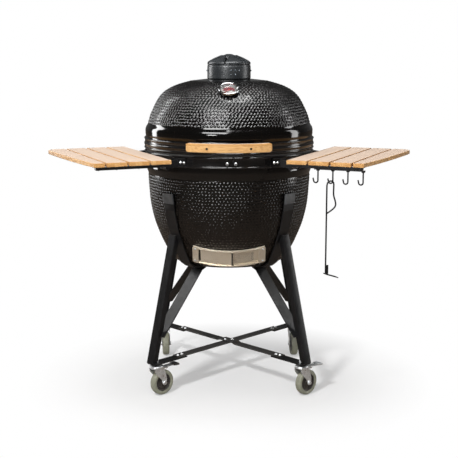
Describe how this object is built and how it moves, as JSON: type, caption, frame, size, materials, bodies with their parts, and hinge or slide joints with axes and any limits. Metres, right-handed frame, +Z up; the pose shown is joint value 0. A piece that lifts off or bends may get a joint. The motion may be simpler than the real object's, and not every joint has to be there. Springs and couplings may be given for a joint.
{
  "type": "kamado grill",
  "caption": "Egg-shaped ceramic charcoal grill with hinged dome lid, rotating top vent, sliding draft door, fold-down wooden side shelves, hooks and a wheeled steel stand.",
  "frame": {"origin": "on the floor, at the middle of the footprint (all wheels stand on z = 0)", "axes": "+X to the right across the two shelves, +Y from the cook's side to the hinge at the back, +Z up"},
  "size_m": [1.3138, 0.8308, 1.191],
  "materials": {
    "glazed_ceramic": "glossy black glaze over a raised bead pattern",
    "bare_ceramic": "unglazed refractory",
    "cast_iron": "dark grey, matt",
    "stainless": "brushed",
    "chrome": "polished",
    "zinc": "zinc plated",
    "black_steel": "satin black powder coat",
    "bamboo": "oiled bamboo",
    "felt": "dense felt",
    "lens": "clear",
    "needle": "red enamel",
    "tyre": "grey-green moulded rubber",
    "hub": "moulded dark"
  },
  "bodies": {
    "root": {"base_shell": "glazed_ceramic", "firebox": "bare_ceramic", "fire_ring": "bare_ceramic", "charcoal_grate": "cast_iron", "cooking_grid": "stainless", "base_gasket": "felt", "base_band": "black_steel", "hinge_base_bracket": "black_steel", "hinge_pin": "zinc", "hinge_spring": "zinc", "vent_frame": "stainless", "left_front_shelf_bracket": "black_steel", "left_rear_shelf_bracket": "black_steel", "right_front_shelf_bracket": "black_steel", "right_rear_shelf_bracket": "black_steel", "front_left_leg": "black_steel", "front_right_leg": "black_steel", "rear_left_leg": "black_steel", "rear_right_leg": "black_steel", "cross_bar_lower": "black_steel", "cross_bar_upper": "black_steel"},
    "lid": {"lid_shell": "glazed_ceramic", "lid_gasket": "felt", "lid_band": "black_steel", "hinge_lid_bracket": "black_steel", "handle_bracket": "black_steel", "handle_grip": "bamboo", "cap_base": "cast_iron", "thermometer_case": "chrome", "thermometer_lens": "lens"},
    "cap": {"cap_top": "cast_iron"},
    "needle": {"thermometer_needle": "needle"},
    "vent_door": {"vent_door": "stainless"},
    "vent_screen": {"vent_screen": "stainless"},
    "left_shelf": {"left_shelf_frame": "black_steel", "left_slat_1": "bamboo", "left_slat_2": "bamboo", "left_slat_3": "bamboo", "left_slat_4": "bamboo"},
    "right_shelf": {"right_shelf_frame": "black_steel", "right_slat_1": "bamboo", "right_slat_2": "bamboo", "right_slat_3": "bamboo", "right_slat_4": "bamboo", "hook_strip": "black_steel"},
    "ash_tool": {"ash_tool": "black_steel"},
    "front_left_caster": {"front_left_fork": "zinc"},
    "front_left_wheel": {"front_left_tyre": "tyre", "front_left_hub": "hub"},
    "front_left_brake": {"front_left_brake": "zinc"},
    "front_right_caster": {"front_right_fork": "zinc"},
    "front_right_wheel": {"front_right_tyre": "tyre", "front_right_hub": "hub"},
    "front_right_brake": {"front_right_brake": "zinc"},
    "rear_left_caster": {"rear_left_fork": "zinc"},
    "rear_left_wheel": {"rear_left_tyre": "tyre", "rear_left_hub": "hub"},
    "rear_right_caster": {"rear_right_fork": "zinc"},
    "rear_right_wheel": {"rear_right_tyre": "tyre", "rear_right_hub": "hub"}
  },
  "joints": [
    {"name": "lid_hinge", "type": "hinge", "parent": "root", "child": "lid", "pos_m": [0, 0.39837, 0.854], "axis": [-1, 0, 0], "range_deg": [0, 80]},
    {"name": "cap_turn", "type": "hinge", "parent": "lid", "child": "cap", "pos_m": [0, 0.03837, 1.17], "axis": [0, 0, 1], "range_deg": [0, 30]},
    {"name": "thermometer_needle_turn", "type": "hinge", "parent": "lid", "child": "needle", "pos_m": [0, -0.18063, 1.0652], "axis": [0, 0.5225, -0.8526], "range_deg": [0, 270]},
    {"name": "vent_door_slide", "type": "hinge", "parent": "root", "child": "vent_door", "pos_m": [0, 0.0543, 0.61677], "axis": [0, -0.459, 0.8884], "range_deg": [0, 18]},
    {"name": "vent_screen_slide", "type": "hinge", "parent": "root", "child": "vent_screen", "pos_m": [0, 0.0543, 0.61677], "axis": [0, -0.459, 0.8884], "range_deg": [-18, 0]},
    {"name": "left_shelf_fold", "type": "hinge", "parent": "root", "child": "left_shelf", "pos_m": [-0.29805, -0.09122, 0.82], "axis": [0.3987, -0.9171, 0], "range_deg": [0, 90]},
    {"name": "right_shelf_fold", "type": "hinge", "parent": "root", "child": "right_shelf", "pos_m": [0.29805, -0.09122, 0.82], "axis": [0.3987, 0.9171, 0], "range_deg": [0, 90]},
    {"name": "ash_tool_swing", "type": "hinge", "parent": "right_shelf", "child": "ash_tool", "pos_m": [0.33179, -0.36095, 0.7841], "axis": [0.3987, 0.9171, 0], "range_deg": [-80, 0]},
    {"name": "front_left_swivel", "type": "hinge", "parent": "root", "child": "front_left_caster", "pos_m": [-0.25597, -0.2176, 0], "axis": [0, 0, 1], "continuous": true},
    {"name": "front_left_roll", "type": "hinge", "parent": "front_left_caster", "child": "front_left_wheel", "pos_m": [-0.23842, -0.20123, 0.04512], "axis": [-0.682, 0.7314, 0], "continuous": true},
    {"name": "front_left_brake_press", "type": "hinge", "parent": "front_left_caster", "child": "front_left_brake", "pos_m": [-0.2355, -0.1985, 0.0995], "axis": [-0.682, 0.7314, 0], "range_deg": [0, 10]},
    {"name": "front_right_swivel", "type": "hinge", "parent": "root", "child": "front_right_caster", "pos_m": [0.25597, -0.2176, 0], "axis": [0, 0, 1], "continuous": true},
    {"name": "front_right_roll", "type": "hinge", "parent": "front_right_caster", "child": "front_right_wheel", "pos_m": [0.27353, -0.20123, 0.04512], "axis": [-0.682, 0.7314, 0], "continuous": true},
    {"name": "front_right_brake_press", "type": "hinge", "parent": "front_right_caster", "child": "front_right_brake", "pos_m": [0.27645, -0.1985, 0.0995], "axis": [-0.682, 0.7314, 0], "range_deg": [0, 10]},
    {"name": "rear_left_swivel", "type": "hinge", "parent": "root", "child": "rear_left_caster", "pos_m": [-0.25597, 0.29435, 0], "axis": [0, 0, 1], "continuous": true},
    {"name": "rear_left_roll", "type": "hinge", "parent": "rear_left_caster", "child": "rear_left_wheel", "pos_m": [-0.25346, 0.27048, 0.04512], "axis": [0.9945, 0.1045, 0], "continuous": true},
    {"name": "rear_right_swivel", "type": "hinge", "parent": "root", "child": "rear_right_caster", "pos_m": [0.25597, 0.29435, 0], "axis": [0, 0, 1], "continuous": true},
    {"name": "rear_right_roll", "type": "hinge", "parent": "rear_right_caster", "child": "rear_right_wheel", "pos_m": [0.25848, 0.27048, 0.04512], "axis": [0.9945, 0.1045, 0], "continuous": true}
  ],
  "couplings": [
    {"joint": "ash_tool_swing", "follows": "right_shelf_fold", "ratio": -0.875}
  ]
}
